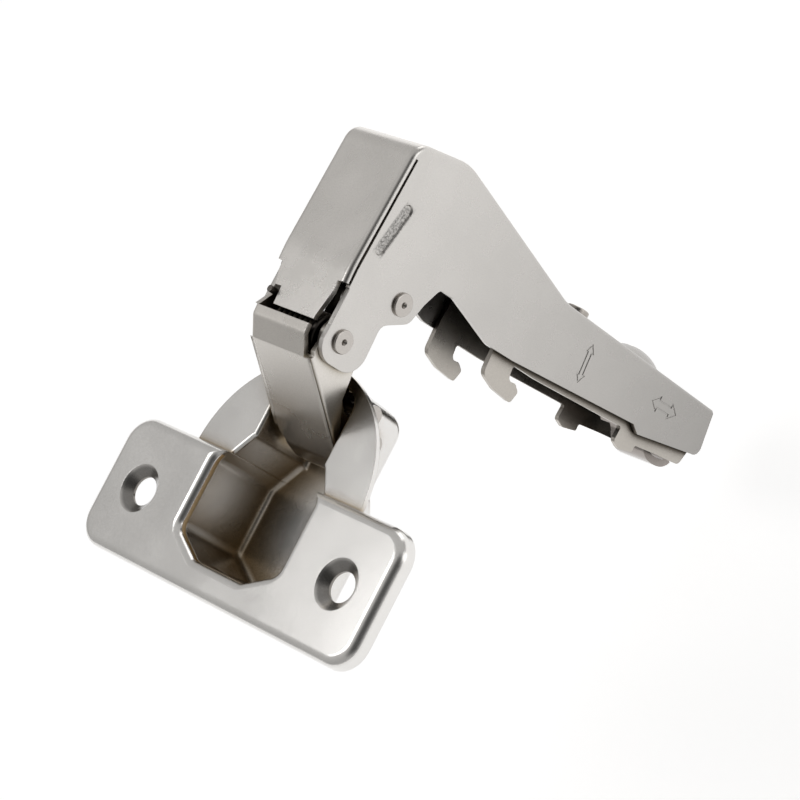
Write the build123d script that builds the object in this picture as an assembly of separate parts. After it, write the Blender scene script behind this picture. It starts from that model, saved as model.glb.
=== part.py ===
from build123d import *
import os
from math import cos, radians, sin

# Concealed cup hinge for a blind corner, shown open.
# Millimetres. Origin: centre of the cup bore on the door's face. +Z points out of the door,
# +Y from the screws towards the arm, +X along the pivots.

os.makedirs("parts", exist_ok=True)

# Sheets, and the play between nested pieces
cup_sheet = 0.8
link_sheet = 0.8
inner_link_sheet = 1.0
arm_sheet = 0.8
carrier_sheet = 0.8
nest_play = 0.1
pin_play = 0.05

# Mounting plate of the cup
plate_length = 62.0
plate_width = 20.8
plate_height = 2.8
plate_corner = 4.5
plate_edge_round = 1.5
screw_spacing = 45.0
screw_setback = 9.5
screw_hole_radius = 2.25
dimple_radius = 3.8
dimple_depth = 1.3

# Drawn cup
bore_radius = 17.5
bore_play = 0.1
cup_depth = 10.9
flange_radius = 18.2
pocket_half_width = 11.3
pocket_front = -15.2
pocket_corner_cut = (6.0, 3.2)
pocket_shoulder = -0.8
channel_half_width = 7.5
channel_start = 5.0
pocket_taper = 2.5
channel_taper = 3
pocket_corner = 2.2
channel_corner = 3.0
floor_round = 1.0
rim_round = 1.3
flange_rim_round = 0.6
window_front = 6.2
window_rear = 13.9
window_half_width = 5.2
rim_notch_half_width = 3.9
rim_notch_depth = 1.6

# Pivots, as (Y, Z) at rest
outer_pivot = (10.5, -5.0)
inner_pivot = (14.0, -2.3)
front_pivot = (20.6, 8.3)
rear_pivot = (29.6, 1.4)
pin_radius = 1.0
pin_head_radius = 1.5
pin_head_height = 0.6
rivet_radius = 1.25
rivet_head_radius = 1.75
rivet_head_height = 0.5
punch_radius = 0.5

# Arm
arm_width = 15.0
arm_edge_round = 0.75
seam_gap = 0.5
nose_tongue_half_width = 4.8
nose_shoulder_half_width = 6.0
notch_half_width = 0.9
notch_height = 2.7
mark_depth = 0.12
mark_line = 0.22
swage_depth = 0.3

side_mark = (38.0, -38.2)
depth_mark = (39.6, -59.2)
swage_middle = (37.6, 9.3)
swage_turn = -11
swage_size = (8.6, 1.9)

# Links
inner_link_width = 6.4
link_eye_radius = 2.7
link_ear_radius = 3.1
relief_width = 0.6
tongue_length = 6.8
tongue_shoulder_half = 5.1
tongue_tip_half = 4.7
tongue_round = 1.8
inner_eye_radius = 1.9
rear_eye_wall = 1.1
rear_eye_play = 0.4
rear_eye_travel = (-1.75, 0.6)

# Closing spring
wire_radius = 0.5
coil_radius = 2.6
coil_pitch = 1.15
coil_turns = 8
spring_leg_x = -4.75
spring_leg_length = 5.3
bush_play = 0.1

# Clip carrier and its adjusters
carrier_rear_z = -69.6
carrier_web_z = -31.5
washer_height = 0.4
leaf_sheet = 0.4
carrier_top_gap = 0.2
side_screw_z = -39.4
side_screw_radius = 1.7
side_screw_head_radius = 1.9
side_screw_head_height = 1.2
side_screw_rise = 2.0
screw_neck_radius = 1.2
screw_foot_height = 0.8
depth_cam_z = -55.4
cam_dome_radius = 4.9
cam_dome_height = 2.0
cam_stem_radius = 2.5
cam_pin_radius = 1.1
cam_throw = 2.0
cam_pin_play = 0.2
cam_turn = 45
lever_half_width = 3.6
lever_pivot = (37.2, -61.5)
lever_sheet = 1.2

# Sizes that follow from the ones above
cup_radius = bore_radius - bore_play
plate_rear = plate_width / 2 - screw_setback
arm_half = arm_width / 2
arm_inner_half = arm_half - arm_sheet
link_half = arm_inner_half - nest_play
link_inner_half = link_half - link_sheet
eye_inner_half = link_inner_half - link_sheet
carrier_half = arm_inner_half - nest_play
carrier_inner_half = carrier_half - carrier_sheet
inner_link_half = inner_link_width / 2
arm_web_y = front_pivot[0] + 23.4


def slab(profile, x_from, x_to):
    """A (Y, Z) profile made solid between two places along the pivots."""
    return extrude(Plane.YZ.offset(x_from) * profile, x_to - x_from)


def cheeks(profile, inner, outer):
    """The same profile on both sides of the middle."""
    return slab(profile, inner, outer) + slab(profile, -outer, -inner)


def across(profile, half_width):
    return slab(profile, -half_width, half_width)


def rounded(points, radii):
    """A closed outline with its corners rounded."""
    return make_face(FilletPolyline(*points, radius=radii, close=True).edges())


def disc(centre, radius):
    return Pos(centre[0], centre[1]) * Circle(radius)


def band(line, outline, thickness):
    """The strip of an outline that lies within a sheet's thickness of a line."""
    beyond = outline - trace(line, line_width=2 * thickness)
    return outline - beyond


def upright(x, z, radius, bottom, top):
    """A round bar along +Y in the arm, between two heights."""
    return extrude(Plane((x, bottom, z), z_dir=(0, 1, 0)) * Circle(radius), top - bottom)


def save(shape, node):
    export_step(shape, "parts/" + node + ".step")


# Drawn cup with its mounting plate

def pocket(grow, top):
    """The well of the cup: a wide front and a channel for the links, grown by a wall."""
    bottom = -cup_depth + cup_sheet - grow
    half = pocket_half_width + grow
    front = pocket_front - grow
    cut_across, cut_back = pocket_corner_cut
    wide = [
        (-half + cut_across, front), (half - cut_across, front), (half, front + cut_back),
        (half, pocket_shoulder), (channel_half_width + grow, channel_start),
        (-channel_half_width - grow, channel_start), (-half, pocket_shoulder), (-half, front + cut_back),
    ]
    well = extrude(Pos(0, 0, top) * rounded(wide, pocket_corner + grow), bottom - top, taper=pocket_taper)
    reach = cup_radius - cup_sheet + grow
    channel_plan = Pos(0, reach / 2) * Rectangle(2 * (channel_half_width + grow), reach) & Circle(reach)
    rear_corners = channel_plan.vertices().filter_by(lambda v: v.Y > 1)
    channel_plan = fillet(rear_corners, channel_corner + grow)
    channel = extrude(Pos(0, 0, top) * channel_plan, bottom - top, taper=channel_taper)
    well = fillet(well.edges().group_by(Axis.Z)[0], floor_round + grow)
    channel_floor = channel.edges().group_by(Axis.Z)[0].filter_by(lambda e: e.center().Y > 1)
    return well + fillet(channel_floor, floor_round + grow)


def flared_pocket(top, radius):
    """The well as a cutter, with its mouth rounded where it meets a flat at the given height."""
    cover = Pos(0, 0, top) * Box(4 * bore_radius, 4 * bore_radius, 4, align=(Align.CENTER, Align.CENTER, Align.MIN))
    tool = pocket(0, top) + cover
    mouth = tool.edges().filter_by(
        lambda e: abs(e.bounding_box().min.Z - top) + abs(e.bounding_box().max.Z - top) < 0.01)
    mouth = mouth.filter_by(lambda e: abs(e.center().X) < bore_radius and abs(e.center().Y) < bore_radius)
    return fillet(mouth, radius)


def dimple(x):
    """A screw hole with its formed seat: the outside cone to add and the inside cone to cut."""
    seat = plate_height - dimple_depth
    outside = Pos(x, -screw_setback, seat - cup_sheet / 2) * Cone(
        screw_hole_radius + cup_sheet, dimple_radius + cup_sheet, dimple_depth,
        align=(Align.CENTER, Align.CENTER, Align.MIN))
    inside = Pos(x, -screw_setback, seat) * Cone(
        screw_hole_radius, dimple_radius, dimple_depth, align=(Align.CENTER, Align.CENTER, Align.MIN))
    hole = Pos(x, -screw_setback, 0) * Cylinder(screw_hole_radius, 4 * plate_height)
    return outside, inside + hole


def cross_hole(centre, radius, half_length):
    return across(disc(centre, radius), half_length)


def hinge_cup():
    plan = Pos(0, -screw_setback) * RectangleRounded(plate_length, plate_width, plate_corner)
    plate = extrude(plan, plate_height)
    plate = fillet(plate.edges().group_by(Axis.Z)[-1], plate_edge_round)
    flange = extrude(Circle(flange_radius) - Pos(0, -flange_radius) * Rectangle(
        2 * flange_radius, 2 * flange_radius + 2 * plate_rear - 2 * cup_sheet), cup_sheet)
    hollow_plan = Pos(0, -screw_setback) * RectangleRounded(
        plate_length - 2 * cup_sheet, plate_width - 2 * cup_sheet, plate_corner - cup_sheet)
    hollow = extrude(Pos(0, 0, -1) * hollow_plan, plate_height - cup_sheet + 1)
    walls = pocket(cup_sheet, plate_height - plate_edge_round)
    cup = plate - hollow + flange + (walls & Pos(0, -1, 0) * Box(80, 80, 80))
    rear_block = Pos(0, plate_rear + 25, cup_sheet + 5) * Box(60, 50, 10)
    cup -= rear_block
    cup -= flared_pocket(plate_height, rim_round)
    behind_plate = Pos(0, plate_rear + 25, 0) * Box(60, 50, 60)
    cup -= flared_pocket(cup_sheet, flange_rim_round) & behind_plate
    for x in (-screw_spacing / 2, screw_spacing / 2):
        outside, inside = dimple(x)
        cup = cup + outside - inside
    window_depth = window_rear - window_front
    window = Pos(0, (window_front + window_rear) / 2, -cup_depth) * Box(
        2 * window_half_width, window_depth, 6 * cup_sheet)
    cup -= window
    notch = Pos(0, flange_radius, cup_sheet) * Box(
        2 * rim_notch_half_width, 6, 2 * (cup_sheet + rim_notch_depth))
    cup -= notch
    for centre in (outer_pivot, inner_pivot):
        cup -= cross_hole(centre, pin_radius + pin_play, bore_radius)
    return cup


def cup_pin(centre):
    """A pin through the channel's walls with a formed head at each end."""
    wall_outside = channel_half_width + cup_sheet + pin_play
    pin = across(disc(centre, pin_radius), wall_outside)
    return pin + cheeks(disc(centre, pin_head_radius), wall_outside, wall_outside + pin_head_height)


save(hinge_cup(), "hinge_cup")
save(cup_pin(outer_pivot), "outer_link_pin")
save(cup_pin(inner_pivot), "inner_link_pin")


# Links

def off(pivot, *moves):
    """Outline points given by their distance from a pivot."""
    return [(pivot[0] + dy, pivot[1] + dz) for dy, dz in moves]


def edges_along(body, line):
    """The long edges of a body, at both ends of its width, that follow a line of its profile."""
    guide = Plane.YZ * line
    ends = body.edges().filter_by(lambda e: e.bounding_box().size.X < 0.01)
    return ends.filter_by(lambda e: guide.distance_to(Vertex(0, e.center().Y, e.center().Z)) < 0.05)


def folded_strip(points, radii, behind, ends, thickness, edge_round):
    """A sheet that follows a line between two places along the pivots, with its outer edges rounded.
    Returns the sheet, the profile of the strip, and the whole outline behind it."""
    line = FilletPolyline(*points, radius=radii)
    region = make_face(line.edges() + Polyline(points[-1], *behind, points[0]).edges())
    strip = band(line, region, thickness)
    body = slab(region, *ends)
    body = fillet(edges_along(body, line), edge_round)
    inside = slab(region - strip, ends[0] - 1, ends[1] + 1)
    return body - inside, strip, region


def tongue_cut(end_z):
    """What is cut from the web to leave the tongue at its lower end, drawn on (X, Z)."""
    half_outline = [(link_half + 0.5, end_z + tongue_length), (tongue_shoulder_half, end_z + tongue_length - 1.9),
                    (tongue_tip_half, end_z + tongue_round), (tongue_tip_half - tongue_round, end_z)]
    outline = half_outline + [(-x, z) for x, z in reversed(half_outline)]
    tongue = make_face(Polyline(*outline, close=True).edges())
    return Pos(0, end_z) * Rectangle(4 * link_half, 2 * tongue_length) - tongue


def outer_link():
    """One pressing: a web with a rolled lip, two side walls that reach the rivet, and two eyes in the cup."""
    crease = off(front_pivot, (-4.3, 3.1))
    lip = off(front_pivot, (0, 5.1), (-1.5, 5.0), (-3.1, 3.9))
    lower = off(outer_pivot, (-4.7, 2.2), (-5.6, -0.4), (-5.6, -2.0))
    behind = off(outer_pivot, (2, -2.0)) + off(front_pivot, (3, 3.1))
    radii = [1.2, 1.2, 1.0, 2.5, 2.5]
    full_width = (-link_half, link_half)
    web, strip, region = folded_strip(lip + crease + lower, radii, behind, full_width, link_sheet, arm_edge_round)
    web -= extrude(Pos(0, lower[-1][0], 0) * (Plane.XZ * tongue_cut(lower[-1][1])), 3, both=True)
    relief = Polyline(*off(front_pivot, (-5.3, 3.6), (-3.9, 2.6), (3, 2.6), (3, 7), (-5.3, 7)), close=True)
    web -= slab(make_face(relief.edges()), link_inner_half - relief_width, link_half + 1)
    wall = make_face(Polyline(*(
        crease + off(outer_pivot, (-3.1, 4.4), (-0.8, 4.8), (3.4, 7.3), (5.6, 7.6))
        + off(front_pivot, (-2.4, -5.3), (2.6, -1.5), (0, 2.5))), close=True).edges())
    wall = wall + disc(front_pivot, link_ear_radius) - strip
    below_crease = Pos(outer_pivot[0], crease[0][1] - link_sheet - 30) * Rectangle(60, 60)
    joined_wall = wall + (region - strip - below_crease)
    rivet_hole = disc(front_pivot, rivet_radius + pin_play)
    eye = make_face(Polyline(*off(
        outer_pivot, (-4.2, 2.3), (-2.4, 5.2), (3.6, 8.6), (4.4, 7.6), (2.0, 4.9), (1.6, 2.2),
        (0, -1), (-2.2, -1.5), (-4.6, 0.5)), close=True).edges())
    eye = eye + disc(outer_pivot, link_eye_radius) - strip
    eye -= disc(outer_pivot, pin_radius + pin_play)
    link = web + cheeks(eye, eye_inner_half, link_inner_half)
    link += slab(wall - rivet_hole, link_inner_half, link_half)
    return link + slab(joined_wall - rivet_hole, -link_half, -link_inner_half)


def inner_link():
    """A cranked channel that passes over the rim of the cup. Its rear eye is a slot, the open pivot."""
    low = off(inner_pivot, (1.9, 0.9), (3.5, 2.6), (8.0, 2.6)) + off(rear_pivot, (-3.4, -1.6))
    rest = off(rear_pivot, (-0.5, -2.2), (1.5, 1.6), (-2.6, 2.9)) + off(front_pivot, (0, -4.3)) + off(
        inner_pivot, (2.9, 6.1), (1.2, 3.7), (-0.4, 1.9))
    profile = make_face(Polyline(*(low + rest), close=True).edges())
    eye_end = (rear_pivot[0] + rear_eye_travel[0], rear_pivot[1] + rear_eye_travel[1])
    slot_radius = rivet_radius + rear_eye_play
    slot = disc(rear_pivot, slot_radius) + disc(eye_end, slot_radius) + trace(
        Line(rear_pivot, eye_end), line_width=2 * slot_radius)
    eye = disc(rear_pivot, slot_radius + rear_eye_wall) + disc(eye_end, slot_radius + rear_eye_wall)
    profile = profile + eye + disc(inner_pivot, inner_eye_radius)
    profile = profile - slot - disc(inner_pivot, pin_radius + pin_play)
    floor_line = Polyline(low[1], low[2], low[3])
    web = band(floor_line, profile, inner_link_sheet)
    return cheeks(profile, inner_link_half - inner_link_sheet, inner_link_half) + across(web, inner_link_half)


save(outer_link(), "outer_link")
save(inner_link(), "inner_link")


# Arm

def double_arrow(middle, length, width, turn):
    """The engraved outline of a two-headed arrow."""
    head = width * 0.7
    shaft = width * 0.25
    half = [(-length / 2, 0), (head - length / 2, width / 2), (head - length / 2, shaft),
            (length / 2 - head, shaft), (length / 2 - head, width / 2), (length / 2, 0)]
    other = [(x, -y) for x, y in reversed(half[1:-1])]
    outline = Polyline(*half, *other, close=True)
    return Pos(*middle) * Rot(0, 0, turn) * trace(outline, line_width=mark_line)


def hinge_arm():
    """One folded sheet: top and nose in one strip, and two sides that carry the rivets."""
    back = off(front_pivot, (0.9, 4.3), (9.5, 4.9), (29.2, 4.2), (31.2, -6.6), (23.4, -37.5), (23.4, -78.9))
    back_radii = [20, 2.8, 9.0, 12.0]
    foot = off(front_pivot, (15.8, -80.4), (13.1, -64.7), (14.1, -62.8), (11.4, -32.0), (11.2, -26.0),
               (13.9, -15.7), (13.9, -12.3))
    ears = off(rear_pivot, (1.7, -3.9), (-1.8, -2.9)) + off(front_pivot, (4.9, -5.2), (-3.6, -5.6), (-3.6, 3.5))
    front = off(front_pivot, (0.7, 3.4))
    full_width = (-arm_half, arm_half)
    web, strip, _ = folded_strip(back, back_radii, foot + ears + front, full_width, arm_sheet, arm_edge_round)
    side_radii = [0.3, 20, 2.8, 9.0, 12.0, 1.0, 1.5, 0.4, 0.4, 6.0, 4.0, 2.5, 1.2, 2.0, 2.0, 1.6, 3.4, 3.2, 0.5]
    side = rounded(back + foot + ears + front, side_radii)
    seam_line = Polyline(*off(front_pivot, (1.0, 4.6), (9.5, 4.9), (27.0, 4.35)))
    mouth = Polyline(*off(front_pivot, (-5, 3.4), (6.6, 3.3), (7.1, 3.8), (7.1, 6), (-5, 6)), close=True)
    side = side - strip - trace(seam_line, line_width=2 * (arm_sheet + seam_gap)) - make_face(mouth.edges())
    for pivot in (front_pivot, rear_pivot):
        side -= disc(pivot, rivet_radius + pin_play)
    lip_y = back[0][0]
    tongue_side = make_face(Polyline(
        (arm_half + 1, lip_y + 6.4), (nose_shoulder_half_width, lip_y + 6.1), (nose_shoulder_half_width, lip_y + 4.6),
        (nose_tongue_half_width, lip_y + 0.5), (nose_tongue_half_width, lip_y - 2),
        (arm_half + 1, lip_y - 2), close=True).edges())
    tongue_cut = extrude(Pos(0, 0, front[0][1]) * tongue_side, 4)
    notch = Pos(spring_leg_x - 2 * nest_play, lip_y, back[0][1]) * Box(2 * notch_half_width, 2 * notch_height, 4)
    web = web - tongue_cut - mirror(tongue_cut, about=Plane.YZ) - notch
    arm = web + cheeks(side, arm_inner_half, arm_half)
    top = back[-1][0]
    arm -= upright(0, side_screw_z, side_screw_radius + pin_play, top - 3, top + 3)
    arm -= upright(0, depth_cam_z, cam_stem_radius + pin_play, top - 3, top + 3)
    for mark in (double_arrow(side_mark, 6.0, 1.7, 6), double_arrow(depth_mark, 6.6, 2.4, 92)):
        arm -= slab(mark, arm_half - mark_depth, arm_half + 1)
    swage = Pos(*swage_middle) * SlotOverall(*swage_size, rotation=swage_turn)
    outer_face = Plane.YZ.offset(arm_half + 0.01)
    arm -= extrude(outer_face * swage, -swage_depth, taper=35)
    return arm


def rivet(centre):
    """A rivet across the arm, with domed heads that carry the punch mark."""
    head = across(disc(centre, rivet_head_radius), arm_half + rivet_head_height)
    head = fillet(head.edges().filter_by(GeomType.CIRCLE), rivet_head_height / 2)
    body = head - across(disc(centre, rivet_head_radius + 1), arm_half)
    body += across(disc(centre, rivet_radius), arm_half)
    for side in (-1, 1):
        tip = Plane((side * (arm_half + rivet_head_height), *centre), z_dir=(-side, 0, 0))
        body -= tip * Cone(punch_radius, 0.05, punch_radius, align=(Align.CENTER, Align.CENTER, Align.MIN))
    return body


def rear_spacers():
    """Two tubes on the rear rivet that keep the inner link in the middle of the arm."""
    ring = disc(rear_pivot, rivet_radius + 0.8) - disc(rear_pivot, rivet_radius + pin_play)
    return cheeks(ring, inner_link_half + nest_play, arm_inner_half)


save(hinge_arm(), "hinge_arm")
save(rivet(front_pivot), "front_rivet")
save(rivet(rear_pivot), "rear_rivet")
save(rear_spacers(), "rear_rivet_spacers")


# Closing spring

def closing_spring():
    """Coils round the front rivet. One leg hooks out past the nose and the other reaches into the link."""
    length = coil_pitch * coil_turns
    start = Plane((spring_leg_x, *front_pivot), x_dir=(0, 1, 0), z_dir=(1, 0, 0))
    path = start * Helix(coil_pitch, length, coil_radius, lefthand=True)
    coil = sweep(Plane(path @ 0, z_dir=path % 0) * Circle(wire_radius), path=path, is_frenet=True)
    first = path @ 0
    last = path @ 1
    spring = coil + Pos(first) * Sphere(wire_radius) + Pos(last) * Sphere(wire_radius)
    hook = extrude(Plane(first, z_dir=-(path % 0)) * Circle(wire_radius), spring_leg_length)
    leg = extrude(Plane(last, z_dir=path % 1) * Circle(wire_radius), spring_leg_length)
    return spring + hook + leg


def spring_bush():
    ring = disc(front_pivot, coil_radius - wire_radius - bush_play) - disc(front_pivot, rivet_radius + pin_play)
    return across(ring, link_inner_half - nest_play)


save(closing_spring(), "closing_spring")
save(spring_bush(), "spring_bush")


# Clip carrier

def clip_carrier():
    """A channel inside the arm, with hooks in front and catches behind that clip on a mounting plate."""
    hook = [(33.5, -20.0), (28.1, -20.4), (27.0, -24.0), (26.7, -28.3), (28.7, -28.9), (29.6, -27.5),
            (29.3, -25.8), (31.7, -25.4), (31.8, -31.0)]
    catch = [(33.4, -53.2), (30.9, -53.1), (30.3, -55.0), (31.0, -58.2), (32.2, -58.1), (33.0, -64.0),
             (33.6, -69.6), (36.0, -70.2)]
    top = arm_web_y - arm_sheet - carrier_top_gap
    crown = [(top, carrier_rear_z), (top, carrier_web_z), (top - 2.5, -20.5)]
    radii = [0.8, 1.5, 3.0, 0.5, 0.6, 0.8, 0.9, 0.5, 0.5, 0.4, 0.7, 0.7, 0.4, 0.4, 0.5, 1.0, 0.3, 0.3, 2.0, 2.0]
    side = rounded(hook + catch + crown, radii)
    web_line = Line((top, carrier_rear_z), (top, carrier_web_z))
    web = band(web_line, side, carrier_sheet)
    side -= disc(lever_pivot, pin_radius)
    carrier = cheeks(side, carrier_inner_half, carrier_half) + across(web, carrier_half)
    travel = cam_throw * sin(radians(cam_turn)) + pin_play
    neck_slot = SlotCenterToCenter(2 * travel, 2 * (screw_neck_radius + pin_play), rotation=90)
    pin_nearest = cam_throw * cos(radians(cam_turn))
    cam_slot = SlotCenterToCenter(cam_throw - pin_nearest + cam_pin_play, 2 * (cam_pin_radius + cam_pin_play))
    above = Plane((0, top + 1, 0), x_dir=(1, 0, 0), z_dir=(0, -1, 0))
    carrier -= extrude(above * (Pos(0, side_screw_z) * neck_slot), carrier_sheet + 2)
    cam_slot_x = (cam_throw + pin_nearest) / 2
    carrier -= extrude(above * (Pos(cam_slot_x, depth_cam_z) * cam_slot), carrier_sheet + 2)
    return carrier


def side_screw():
    """Threaded in the arm. Its neck rides in the carrier's slot, between the shank and the foot."""
    head_bottom = arm_web_y + side_screw_rise - side_screw_head_height
    web_top = arm_web_y - arm_sheet - carrier_top_gap
    web_bottom = web_top - carrier_sheet
    head = upright(0, side_screw_z, side_screw_head_radius, head_bottom, head_bottom + side_screw_head_height)
    head = fillet(head.edges().filter_by(GeomType.CIRCLE), 0.25)
    shank = upright(0, side_screw_z, side_screw_radius, web_top + pin_play, head_bottom + 0.2)
    neck = upright(0, side_screw_z, screw_neck_radius, web_bottom - 0.2, web_top + 0.2)
    foot = upright(0, side_screw_z, side_screw_radius, web_bottom - pin_play - screw_foot_height,
                   web_bottom - pin_play)
    screw = head + shank + neck + foot
    top = head_bottom + side_screw_head_height
    for turn in (0, 90):
        slot = Plane((0, top, side_screw_z), z_dir=(0, 1, 0)).rotated((0, 0, turn)) * Box(2.6, 0.6, 1.4)
        screw -= slot
    return screw


def depth_cam():
    """A low dome on the arm, with a stem and an offset pin that moves the carrier along the arm."""
    base = arm_web_y + washer_height
    dome_sphere = (cam_dome_radius ** 2 + cam_dome_height ** 2) / (2 * cam_dome_height)
    ball = Pos(0, base + cam_dome_height - dome_sphere, depth_cam_z) * Sphere(dome_sphere)
    dome = ball & upright(0, depth_cam_z, cam_dome_radius, base, base + cam_dome_height + 1)
    web_top = arm_web_y - arm_sheet - carrier_top_gap
    stem = upright(0, depth_cam_z, cam_stem_radius, web_top + pin_play, base + 0.2)
    pin = upright(cam_throw, depth_cam_z, cam_pin_radius, web_top - carrier_sheet - 0.6,
                  web_top + carrier_top_gap - pin_play)
    cam = dome + stem + pin
    for turn in (0, 90):
        slot = Plane((0, base + cam_dome_height, depth_cam_z), z_dir=(0, 1, 0)).rotated((0, 0, turn))
        cam -= slot * Box(4.0, 0.8, 1.6)
    return cam


def cam_washer():
    ring = upright(0, depth_cam_z, cam_stem_radius + 1.6, arm_web_y, arm_web_y + washer_height)
    return ring - upright(0, depth_cam_z, cam_stem_radius + pin_play, arm_web_y - 1, arm_web_y + 1)


# Release lever at the rear of the carrier

def release_lever():
    """A curved lever on the carrier's pin, pressed at the rear to unclip the hinge."""
    spine = Spline(*off(lever_pivot, (-2.4, 2.2), (-1.4, 0.4), (-2.4, -1.6), (-4.3, -3.6), (-4.7, -6.0),
                        (-4.3, -8.0), (-3.2, -9.2)))
    profile = trace(spine, line_width=lever_sheet) + disc(lever_pivot, pin_radius + 0.9)
    profile -= disc(lever_pivot, pin_radius + pin_play)
    return across(profile, lever_half_width)


def lever_pin():
    return across(disc(lever_pivot, pin_radius - pin_play), carrier_half)


def lever_spring():
    """A leaf between the carrier's web and the lever."""
    top = arm_web_y - arm_sheet - carrier_top_gap - carrier_sheet
    leaf = FilletPolyline(
        (top - 0.25, depth_cam_z - 3.0), (top - 0.25, lever_pivot[1] - 1.0),
        (lever_pivot[0] - 2.2, lever_pivot[1] - 5.5), radius=1.5)
    return across(trace(leaf, line_width=leaf_sheet), 2.5)


save(clip_carrier(), "clip_carrier")
save(side_screw(), "side_screw")
save(depth_cam(), "depth_cam")
save(cam_washer(), "cam_washer")
save(release_lever(), "release_lever")
save(lever_pin(), "lever_pin")
save(lever_spring(), "lever_spring")
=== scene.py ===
import math

import bpy
from mathutils import Matrix, Vector


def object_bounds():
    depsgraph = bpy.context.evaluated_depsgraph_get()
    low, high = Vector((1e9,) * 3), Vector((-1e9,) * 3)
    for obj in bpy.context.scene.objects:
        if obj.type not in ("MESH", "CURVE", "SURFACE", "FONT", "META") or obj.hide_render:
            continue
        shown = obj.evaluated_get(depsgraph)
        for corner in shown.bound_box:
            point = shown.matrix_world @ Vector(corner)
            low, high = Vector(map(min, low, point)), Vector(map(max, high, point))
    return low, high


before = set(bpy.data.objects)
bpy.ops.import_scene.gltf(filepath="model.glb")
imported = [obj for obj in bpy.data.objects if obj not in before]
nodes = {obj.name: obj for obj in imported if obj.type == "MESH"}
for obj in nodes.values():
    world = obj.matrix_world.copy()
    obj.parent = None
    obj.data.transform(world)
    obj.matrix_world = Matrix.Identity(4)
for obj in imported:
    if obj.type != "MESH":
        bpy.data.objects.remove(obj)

cad_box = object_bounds()
MM = 0.001

# Camera: the photograph's perspective, fitted to the screw holes and the cup
CAMERA_AT = Vector((275.8, -18.1, 259.4)) * MM
CAMERA_RIGHT = Vector((0.656882, 0.456945, -0.599756))
CAMERA_DOWN = Vector((0.263146, -0.884359, -0.385569))
CAMERA_FORWARD = Vector((-0.706584, 0.095450, -0.701162))
SENSOR_WIDTH = 36.0
FOCAL_PIXELS = 2681.0
IMAGE_SIZE = 800
CLIP_NEAR = 0.01
CLIP_FAR = 20.0

# Room: a direction, the cosines between which the level changes, and its two levels
OVERHEAD = (Vector((0, 0, 1)), -0.1, 0.9, 0.44, 0.52)
AROUND_CAMERA = (-CAMERA_FORWARD, 0.70, 0.98, 1.0, 0.15)
FRONT_SIDE = (Vector((0.25, -1.0, 0.1)), 0.2, 0.95, 1.0, 0.85)
ROOM_COLOUR = (1.0, 0.99, 0.975, 1)

# Floor, in metres, and how much it glows where it is seen
FLOOR_DROP = 20.0 * MM
FLOOR_REACH = 3.0
FLOOR_COLOUR = (0.88, 0.88, 0.88, 1)
FLOOR_GLOW = 0.58

# Lamps: name, place, aim and size in millimetres, and radiance
SOFTBOXES = (
    ("key", (-150, -30, 330), (10, -5, 0), (130, 170), 2.3),
    ("side", (330, 180, 10), (5, 30, -20), (160, 240), 1.0),
    ("top", (-60, 420, 60), (0, 25, 0), (260, 200), 1.2),
)

# Plated steel: broad clouds, fine grain, softened edges and painted shade in hollows
NOISE_SPREAD = (0.3, 0.7)
CLOUD_SCALE = 90.0
CLOUD_DETAIL = 4.0
CLOUD_TONE = (0.96, 1.04)
CLOUD_ROUGHNESS = (0.86, 1.18)
GRAIN_SCALE = 5200.0
GRAIN_DETAIL = 2.0
GRAIN_ROUGHNESS = 0.6
GRAIN_DEPTH = 0.02 * MM
GRAIN_STRENGTH = 0.25
GRAIN_TONE = 0.05
GRAIN_RANGE = (0.2, 1.0)
FINISH_RANGE = (0.1, 0.9)
MIDDLE_SHADE_AT = 0.5
EDGE_RADIUS = 0.12 * MM
EDGE_SAMPLES = 6
HOLLOW_SAMPLES = 12

# Arm: half width, the thin outer layer of its sides, and the z between which its painted shade darkens
# it towards the rear
ARM_HALF_WIDTH = 7.5 * MM
SIDE_LAYER = (0.20 * MM, 0.15 * MM)
REAR_SHADE_Z = (-75.0 * MM, 5.0 * MM)

# Nose front: z and half width between which its brighter painted light comes in, and the gain
NOSE_Z = (5.0 * MM, 8.0 * MM)
NOSE_HALF_WIDTH = (6.4 * MM, 7.3 * MM)
NOSE_LIGHT_GAIN = 0.32

# Pressed patch on the arm's side: middle, turn, half length and half width
SWAGE_AT = Vector((0.0, 37.6, 9.3)) * MM
SWAGE_TURN = math.radians(-11.0)
SWAGE_HALF = (4.3 * MM, 1.15 * MM)
SWAGE_EDGE = (0.75, 1.1)
SWAGE_SIDE = (5.5 * MM, 6.5 * MM)
SWAGE_SCALE = 2900.0
SWAGE_SPREAD = (0.34, 0.66)
SWAGE_TONE = (0.28, 0.86)

# Countersinks: middle of the right one, the radii between which they end, and their painted shade
SCREW_AT = Vector((22.5, -9.5, 0)) * MM
CONE_RADIUS = (3.3 * MM, 3.9 * MM)
CONE_SHADE = 0.42


def set_value(node, **values):
    for name, value in values.items():
        node.inputs[name.replace("_", " ")].default_value = value


def link(tree, a, a_name, b, b_name):
    tree.links.new(a.outputs[a_name], b.inputs[b_name])


def combine(tree, operation, a, b, b_name=0):
    """A maths node on the first output of a and an output of b."""
    node = tree.nodes.new("ShaderNodeMath")
    node.operation = operation
    link(tree, a, 0, node, 0)
    link(tree, b, b_name, node, 1)
    return node


def product(tree, *factors):
    result = factors[0]
    for factor in factors[1:]:
        result = combine(tree, "MULTIPLY", result, factor)
    return result


def one_plus_product(tree, a, b):
    node = combine(tree, "MULTIPLY_ADD", a, b)
    node.inputs[2].default_value = 1.0
    return node


def map_range(tree, source, output, limits, levels, smooth=False):
    node = tree.nodes.new("ShaderNodeMapRange")
    if smooth:
        node.interpolation_type = "SMOOTHSTEP"
    set_value(node, From_Min=limits[0], From_Max=limits[1], To_Min=levels[0], To_Max=levels[1])
    link(tree, source, output, node, "Value")
    return node


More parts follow.
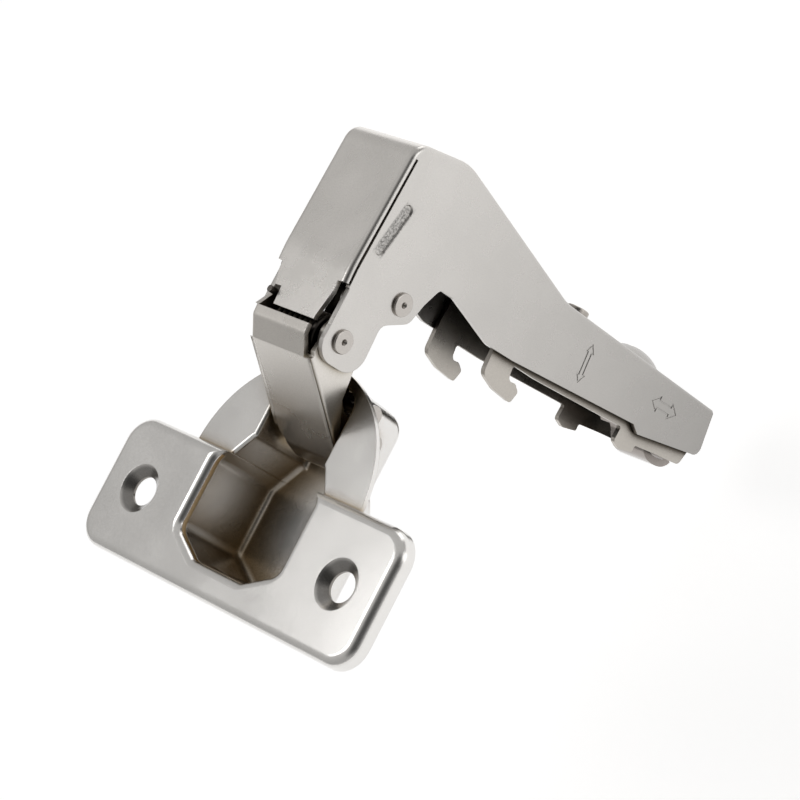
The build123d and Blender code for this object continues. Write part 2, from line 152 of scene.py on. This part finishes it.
def noise(tree, coords, scale, detail=GRAIN_DETAIL):
    node = tree.nodes.new("ShaderNodeTexNoise")
    set_value(node, Scale=scale, Detail=detail, Roughness=GRAIN_ROUGHNESS)
    link(tree, coords, "Object", node, "Vector")
    return node


def separate(tree, source, output):
    node = tree.nodes.new("ShaderNodeSeparateXYZ")
    link(tree, source, output, node, 0)
    return node


def from_middle(tree, split, axis):
    """How far a point lies from the middle plane, on either side."""
    node = tree.nodes.new("ShaderNodeMath")
    node.operation = "ABSOLUTE"
    link(tree, split, axis, node, 0)
    return node


def make_camera():
    data = bpy.data.cameras.new("camera")
    camera = bpy.data.objects.new("camera", data)
    bpy.context.scene.collection.objects.link(camera)
    data.sensor_width = SENSOR_WIDTH
    data.lens = SENSOR_WIDTH * FOCAL_PIXELS / IMAGE_SIZE
    data.clip_start = CLIP_NEAR
    data.clip_end = CLIP_FAR
    turn = Matrix((CAMERA_RIGHT, -CAMERA_DOWN, -CAMERA_FORWARD)).transposed()
    camera.matrix_world = Matrix.Translation(CAMERA_AT) @ turn.to_4x4()
    bpy.context.scene.camera = camera
    bpy.context.scene.view_settings.view_transform = "Standard"


def direction_level(tree, coords, towards, start, end, low, high):
    """A level that eases from low to high as the view into the room turns towards a direction."""
    dot = tree.nodes.new("ShaderNodeVectorMath")
    dot.operation = "DOT_PRODUCT"
    dot.inputs[1].default_value = towards.normalized()
    link(tree, coords, "Generated", dot, 0)
    return map_range(tree, dot, "Value", (start, end), (low, high), smooth=True)


def make_world():
    """A pale grey room, darker around the camera."""
    world = bpy.data.worlds.new("studio")
    bpy.context.scene.world = world
    world.use_nodes = True
    tree = world.node_tree
    tree.nodes.clear()
    coords = tree.nodes.new("ShaderNodeTexCoord")
    levels = [direction_level(tree, coords, *part) for part in (OVERHEAD, AROUND_CAMERA, FRONT_SIDE)]
    room = tree.nodes.new("ShaderNodeBackground")
    room.inputs["Color"].default_value = ROOM_COLOUR
    link(tree, product(tree, *levels), 0, room, "Strength")
    out = tree.nodes.new("ShaderNodeOutputWorld")
    link(tree, room, "Background", out, "Surface")


def make_floor():
    """White paper that glows a little where it is seen, so that only the shadow is grey."""
    z = cad_box[0][2] - FLOOR_DROP
    r = FLOOR_REACH
    mesh = bpy.data.meshes.new("floor")
    mesh.from_pydata([(-r, -r, z), (r, -r, z), (r, r, z), (-r, r, z)], [], [(0, 1, 2, 3)])
    floor = bpy.data.objects.new("floor", mesh)
    bpy.context.scene.collection.objects.link(floor)
    material = bpy.data.materials.new("floor_paper")
    material.use_nodes = True
    tree = material.node_tree
    tree.nodes.clear()
    add = tree.nodes.new
    paper = add("ShaderNodeBsdfDiffuse")
    paper.inputs["Color"].default_value = FLOOR_COLOUR
    path = add("ShaderNodeLightPath")
    seen = combine(tree, "MAXIMUM", path, path, "Is Transmission Ray")
    seen = combine(tree, "MAXIMUM", seen, path, "Is Glossy Ray")
    level = add("ShaderNodeMath")
    level.operation = "MULTIPLY"
    level.inputs[1].default_value = FLOOR_GLOW
    link(tree, seen, 0, level, 0)
    glow = add("ShaderNodeEmission")
    link(tree, level, 0, glow, "Strength")
    both = add("ShaderNodeAddShader")
    link(tree, paper, 0, both, 0)
    link(tree, glow, 0, both, 1)
    out = add("ShaderNodeOutputMaterial")
    link(tree, both, "Shader", out, "Surface")
    mesh.materials.append(material)


def softbox(name, place, aim, size, radiance):
    """A rectangular lamp that looks as bright as a surface of that radiance."""
    data = bpy.data.lights.new(name, "AREA")
    data.shape = "RECTANGLE"
    data.size = size[0] * MM
    data.size_y = size[1] * MM
    data.energy = radiance * math.pi * data.size * data.size_y
    lamp = bpy.data.objects.new(name, data)
    bpy.context.scene.collection.objects.link(lamp)
    place = Vector(place) * MM
    aim = Vector(aim) * MM
    lamp.rotation_euler = (aim - place).to_track_quat("-Z", "Y").to_euler()
    lamp.location = place


def swage_tone(tree, coords):
    """The mottled dark tone of the pressed patch on the arm's side."""
    place = tree.nodes.new("ShaderNodeMapping")
    place.vector_type = "TEXTURE"
    place.inputs["Location"].default_value = SWAGE_AT
    place.inputs["Rotation"].default_value = (SWAGE_TURN, 0, 0)
    link(tree, coords, "Object", place, "Vector")
    split = separate(tree, place, "Vector")
    masks = []
    for axis, half in zip("YZ", SWAGE_HALF):
        limits = (half * SWAGE_EDGE[0], half * SWAGE_EDGE[1])
        masks.append(map_range(tree, from_middle(tree, split, axis), 0, limits, (1.0, 0.0), smooth=True))
    side = map_range(tree, split, "X", SWAGE_SIDE, (0.0, 1.0))
    inside = product(tree, *masks, side)
    spots = map_range(tree, noise(tree, coords, SWAGE_SCALE), "Fac", SWAGE_SPREAD, SWAGE_TONE)
    mottle = tree.nodes.new("ShaderNodeMix")
    mottle.data_type = "FLOAT"
    mottle.inputs[2].default_value = 1.0
    link(tree, inside, 0, mottle, 0)
    link(tree, spots, 0, mottle, 3)
    return mottle


def nose_painted_light(tree, coords):
    """Painted light: the nose's flat front is brighter than the rest of the arm."""
    split = separate(tree, coords, "Object")
    front = map_range(tree, split, "Z", NOSE_Z, (0.0, 1.0))
    inner = map_range(tree, from_middle(tree, split, "X"), 0, NOSE_HALF_WIDTH, (NOSE_LIGHT_GAIN, 0.0))
    return one_plus_product(tree, front, inner)


def rearward_painted_shade(tree, coords, rear_shade_level):
    """Painted shade: a tone that falls off towards the arm's rear."""
    return map_range(tree, separate(tree, coords, "Object"), "Z", REAR_SHADE_Z, (rear_shade_level, 1.0))


def cone_painted_shade(tree, coords):
    """Darker painted shade in the two countersinks."""
    split = separate(tree, coords, "Object")
    flat = tree.nodes.new("ShaderNodeCombineXYZ")
    link(tree, from_middle(tree, split, "X"), 0, flat, "X")
    link(tree, split, "Y", flat, "Y")
    off = tree.nodes.new("ShaderNodeVectorMath")
    off.operation = "DISTANCE"
    off.inputs[1].default_value = SCREW_AT
    link(tree, flat, "Vector", off, 0)
    return map_range(tree, off, "Value", CONE_RADIUS, (CONE_SHADE, 1.0), smooth=True)


def side_face(tree, coords):
    """1 on the arm's flat outer sides, where marks are pressed too lightly to look dark, so the painted
    shade is left off there.
    """
    across = from_middle(tree, separate(tree, coords, "Object"), "X")
    limits = (ARM_HALF_WIDTH - SIDE_LAYER[0], ARM_HALF_WIDTH - SIDE_LAYER[1])
    return map_range(tree, across, 0, limits, (0.0, 1.0))


def hollow_shade(tree, reach, limits):
    """Ambient occlusion for the painted shade: 0 deep in a hollow and 1 in the open."""
    hollow = tree.nodes.new("ShaderNodeAmbientOcclusion")
    hollow.samples = HOLLOW_SAMPLES
    hollow.inputs["Distance"].default_value = reach * MM
    return map_range(tree, hollow, "AO", limits, (0.0, 1.0))


def metal(name, base, middle, deep, roughness, reach=6.0, hollow=(0.15, 0.9), deep_grain=0.15,
          deep_roughness=0.35, rear_shade_level=None, is_arm=False, is_cup=False):
    """Plated steel: satin grain, softened edges, and painted shade in other colours in its hollows."""
    material = bpy.data.materials.new(name)
    material.use_nodes = True
    tree = material.node_tree
    tree.nodes.clear()
    add = tree.nodes.new
    coords = add("ShaderNodeTexCoord")
    shader = add("ShaderNodeBsdfPrincipled")
    shader.inputs["Metallic"].default_value = 1.0
    cloud = noise(tree, coords, CLOUD_SCALE, CLOUD_DETAIL)
    grain = noise(tree, coords, GRAIN_SCALE)

    shade = hollow_shade(tree, reach, hollow)
    if is_arm:
        shade = combine(tree, "MAXIMUM", shade, side_face(tree, coords))
    # Painted shade: the colour runs from base in the open, through middle, to deep in the hollows.
    tone = add("ShaderNodeValToRGB")
    tone.color_ramp.elements[0].color = (*deep, 1)
    tone.color_ramp.elements[1].color = (*base, 1)
    tone.color_ramp.elements.new(MIDDLE_SHADE_AT).color = (*middle, 1)
    link(tree, shade, 0, tone, "Fac")

    clouds = map_range(tree, cloud, "Fac", NOISE_SPREAD, CLOUD_TONE)
    centred = map_range(tree, grain, "Fac", NOISE_SPREAD, (-1.0, 1.0))
    amount = map_range(tree, shade, 0, GRAIN_RANGE, (deep_grain, GRAIN_TONE))
    levels = [clouds, one_plus_product(tree, centred, amount)]
    if rear_shade_level:
        levels.append(rearward_painted_shade(tree, coords, rear_shade_level))
    if is_arm:
        levels += [swage_tone(tree, coords), nose_painted_light(tree, coords)]
    if is_cup:
        levels.append(cone_painted_shade(tree, coords))
    vary = add("ShaderNodeHueSaturation")
    link(tree, product(tree, *levels), 0, vary, "Value")
    link(tree, tone, "Color", vary, "Color")
    link(tree, vary, "Color", shader, "Base Color")

    finish = map_range(tree, shade, 0, FINISH_RANGE, (deep_roughness, roughness))
    uneven = map_range(tree, cloud, "Fac", NOISE_SPREAD, CLOUD_ROUGHNESS)
    link(tree, product(tree, finish, uneven), 0, shader, "Roughness")

    rounded_edge = add("ShaderNodeBevel")
    rounded_edge.samples = EDGE_SAMPLES
    rounded_edge.inputs["Radius"].default_value = EDGE_RADIUS
    bump = add("ShaderNodeBump")
    set_value(bump, Strength=GRAIN_STRENGTH, Distance=GRAIN_DEPTH)
    link(tree, grain, "Fac", bump, "Height")
    link(tree, rounded_edge, "Normal", bump, "Normal")
    link(tree, bump, "Normal", shader, "Normal")
    out = add("ShaderNodeOutputMaterial")
    link(tree, shader, "BSDF", out, "Surface")
    return material


def dress(material, *names):
    for name in names:
        node = nodes[name]
        node.data.materials.clear()
        node.data.materials.append(material)


make_camera()
make_world()
make_floor()
for lamp in SOFTBOXES:
    softbox(*lamp)

# Each metal's three colours are its colour in the open, at half shade and deep in its hollows; the last
# two are painted shade.
nickel = metal(
    "nickel", (0.615, 0.595, 0.57), (0.40, 0.37, 0.33), (0.14, 0.11, 0.08), 0.27,
    hollow=(0.1, 0.75), rear_shade_level=0.60, is_arm=True)
link_nickel = metal(
    "link_nickel", (0.69, 0.66, 0.62), (0.41, 0.37, 0.30), (0.14, 0.105, 0.06), 0.26,
    reach=12.0, hollow=(0.1, 0.85))
cup_nickel = metal(
    "cup_nickel", (0.79, 0.775, 0.755), (0.31, 0.238, 0.15), (0.60, 0.485, 0.33), 0.22,
    reach=10.0, hollow=(0.15, 0.92), deep_grain=0.24, deep_roughness=0.42, is_cup=True)
carrier_nickel = metal(
    "carrier_nickel", (0.51, 0.48, 0.44), (0.07, 0.058, 0.044), (0.012, 0.01, 0.007), 0.28,
    reach=13.0, hollow=(0.45, 0.95))
rivet_steel = metal("rivet_steel", (0.52, 0.49, 0.46), (0.33, 0.30, 0.27), (0.10, 0.08, 0.06), 0.20)
spring_steel = metal("spring_steel", (0.20, 0.185, 0.17), (0.10, 0.09, 0.08), (0.03, 0.026, 0.02), 0.25)
dark_steel = metal("dark_steel", (0.34, 0.31, 0.29), (0.18, 0.16, 0.145), (0.04, 0.034, 0.03), 0.15)

dress(nickel, "hinge_arm", "depth_cam")
dress(cup_nickel, "hinge_cup")
dress(link_nickel, "outer_link")
dress(carrier_nickel, "inner_link", "clip_carrier")
dress(rivet_steel, "outer_link_pin", "inner_link_pin", "front_rivet", "rear_rivet", "side_screw",
      "cam_washer", "lever_pin")
dress(spring_steel, "closing_spring", "spring_bush", "rear_rivet_spacers", "lever_spring")
dress(dark_steel, "release_lever")
